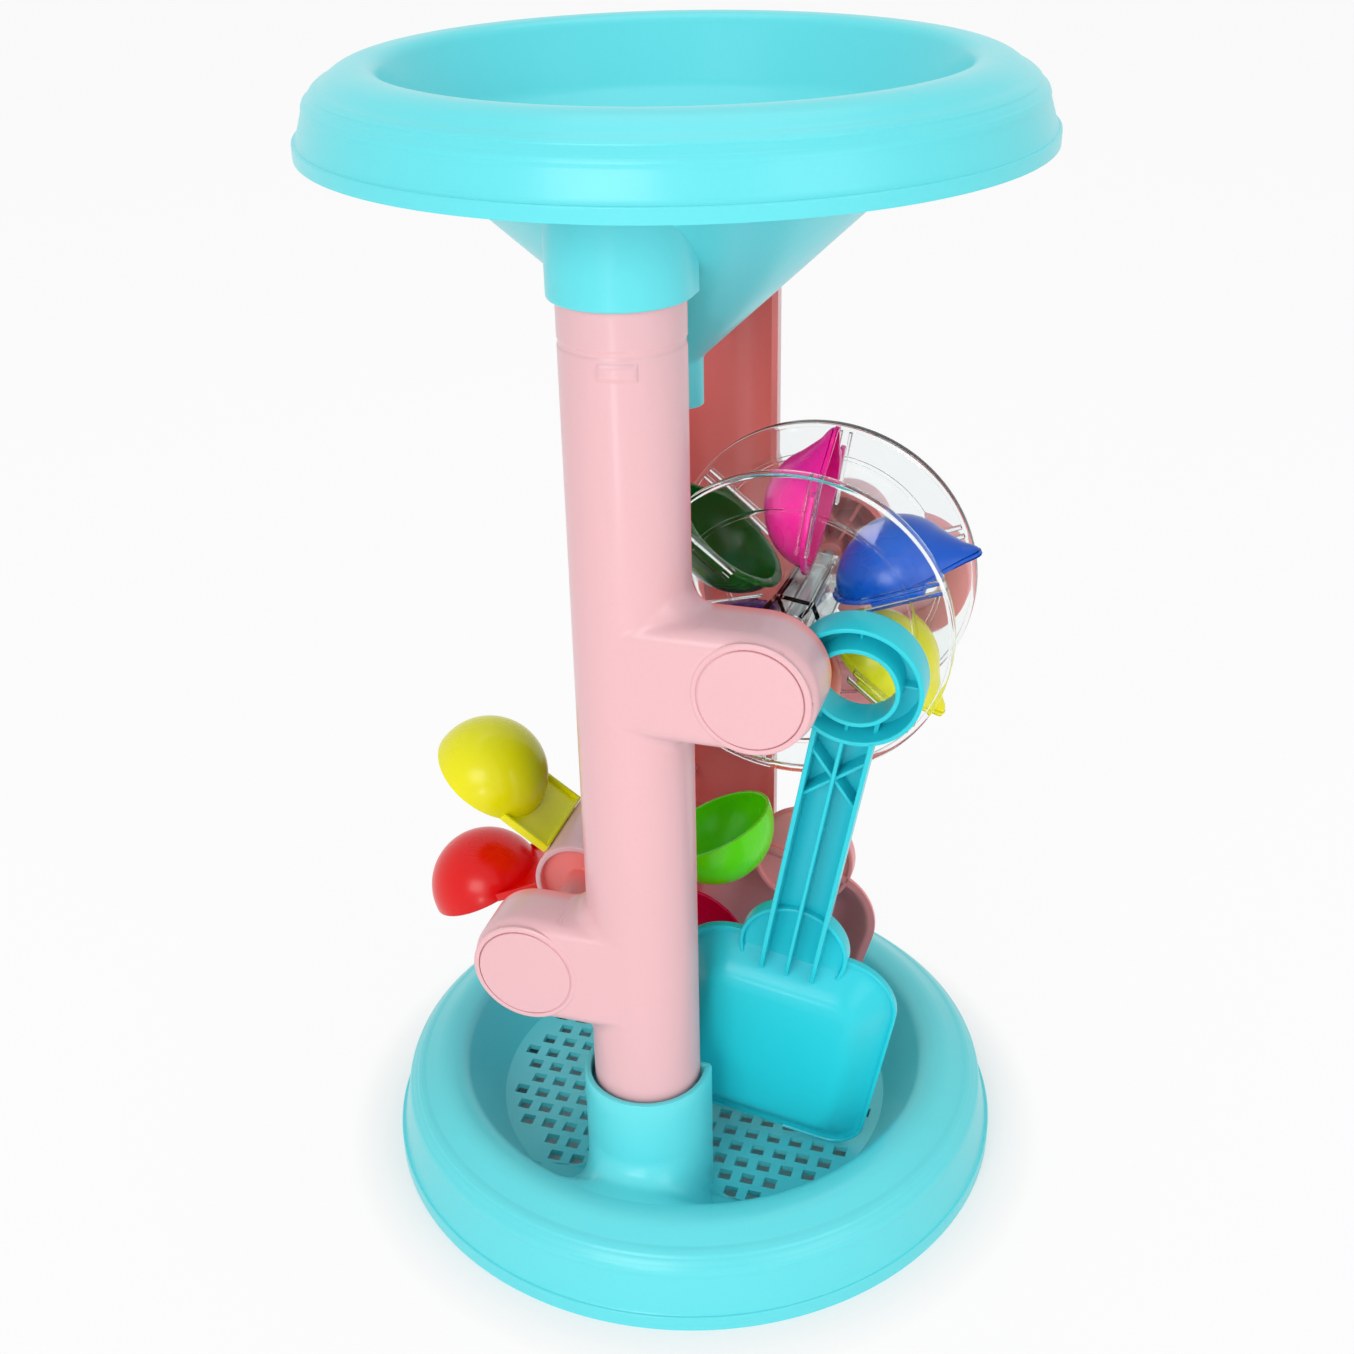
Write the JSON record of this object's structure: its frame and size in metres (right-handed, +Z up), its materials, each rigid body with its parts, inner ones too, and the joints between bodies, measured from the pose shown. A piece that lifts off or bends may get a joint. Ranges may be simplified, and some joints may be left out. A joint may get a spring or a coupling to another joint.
{
  "type": "sand wheel toy",
  "caption": "Sand wheel toy: a funnel hopper on posts pours sand over free-turning wheels of coloured cups into a round sieve tray, where a shovel and a rake are stored.",
  "frame": {"origin": "on the floor, under the middle of the round tray", "axes": "+Z up; +Y from the front post to the back post; the upper wheel's arms point to +X"},
  "size_m": [0.238, 0.238, 0.4102],
  "materials": {
    "aqua_plastic": "moulded, glossy",
    "pink_plastic": "moulded, glossy",
    "rose_plastic": "moulded, glossy",
    "cyan_plastic": "moulded, glossy",
    "white_plastic": "moulded, glossy",
    "blue_plastic": "moulded, glossy",
    "magenta_plastic": "moulded, glossy",
    "green_plastic": "moulded, glossy",
    "purple_plastic": "moulded, glossy",
    "orange_plastic": "moulded, glossy",
    "yellow_plastic": "moulded, glossy",
    "lime_plastic": "moulded, glossy",
    "teal_plastic": "moulded, glossy",
    "red_plastic": "moulded, glossy",
    "violet_plastic": "moulded, glossy",
    "crimson_plastic": "moulded, glossy",
    "clear_plastic": "clear polystyrene, polished"
  },
  "bodies": {
    "stand": {"base_tray": "aqua_plastic", "hopper": "aqua_plastic", "front_post": "pink_plastic", "back_post": "pink_plastic", "upper_axle": "white_plastic", "lower_axle": "white_plastic", "upper_cap_front": "pink_plastic", "upper_cap_back": "pink_plastic", "lower_cap_front": "pink_plastic", "lower_cap_back": "pink_plastic"},
    "upper_wheel": {"upper_disc_front": "clear_plastic", "upper_disc_back": "clear_plastic", "upper_hub": "clear_plastic", "upper_cup_blue": "blue_plastic", "upper_cup_magenta": "magenta_plastic", "upper_cup_green": "green_plastic", "upper_cup_purple": "purple_plastic", "upper_cup_orange": "orange_plastic", "upper_cup_yellow": "yellow_plastic"},
    "lower_wheel": {"lower_hub": "pink_plastic", "lower_scoop_lime": "lime_plastic", "lower_scoop_teal": "teal_plastic", "lower_scoop_yellow": "yellow_plastic", "lower_scoop_red": "red_plastic", "lower_scoop_violet": "violet_plastic", "lower_scoop_crimson": "crimson_plastic"},
    "shovel": {"shovel": "cyan_plastic"},
    "rake": {"rake": "rose_plastic"}
  },
  "joints": [
    {"name": "upper_spin", "type": "hinge", "parent": "stand", "child": "upper_wheel", "pos_m": [0.0437, 0, 0.23419], "axis": [0, 1, 0], "continuous": true},
    {"name": "lower_spin", "type": "hinge", "parent": "stand", "child": "lower_wheel", "pos_m": [-0.0375, 0, 0.11401], "axis": [0, 1, 0], "continuous": true},
    {"name": "shovel_lift", "type": "slide", "parent": "stand", "child": "shovel", "axis": [0.7071, 0, 0.7071], "range_m": [0, 0.2]},
    {"name": "rake_lift", "type": "slide", "parent": "stand", "child": "rake", "axis": [0.7071, 0, 0.7071], "range_m": [0, 0.215]}
  ]
}
